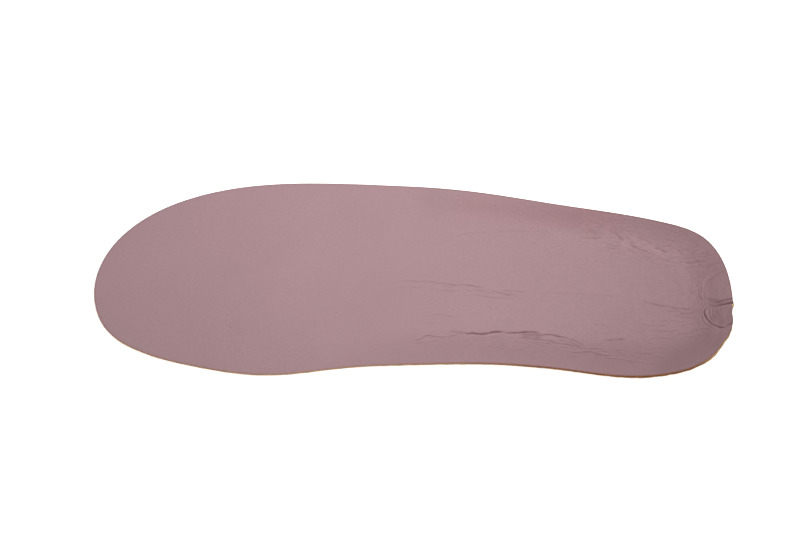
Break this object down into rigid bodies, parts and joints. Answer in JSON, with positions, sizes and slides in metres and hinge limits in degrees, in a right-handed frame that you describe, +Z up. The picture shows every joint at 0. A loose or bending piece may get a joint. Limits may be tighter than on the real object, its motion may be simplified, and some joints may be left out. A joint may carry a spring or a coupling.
{
  "type": "shoe insole",
  "caption": "Moulded full-length shoe insole for a right foot: a smooth leather cover on a footbed with a shallow heel cup, a raised arch flange and a thin flat forefoot.",
  "frame": {"origin": "on the floor under the middle of the insole's box", "axes": "+X towards the toe, +Y towards the big-toe side, +Z up from the underside to the leather"},
  "size_m": [0.2505, 0.0856, 0.0152],
  "materials": {
    "cover_leather": "smooth mauve leather with a soft satin finish and a raw brown cut edge",
    "base_cork": "matte brown moulded cork and latex"
  },
  "bodies": {
    "root": {"leather_cover": "cover_leather", "footbed": "base_cork"}
  },
  "joints": []
}
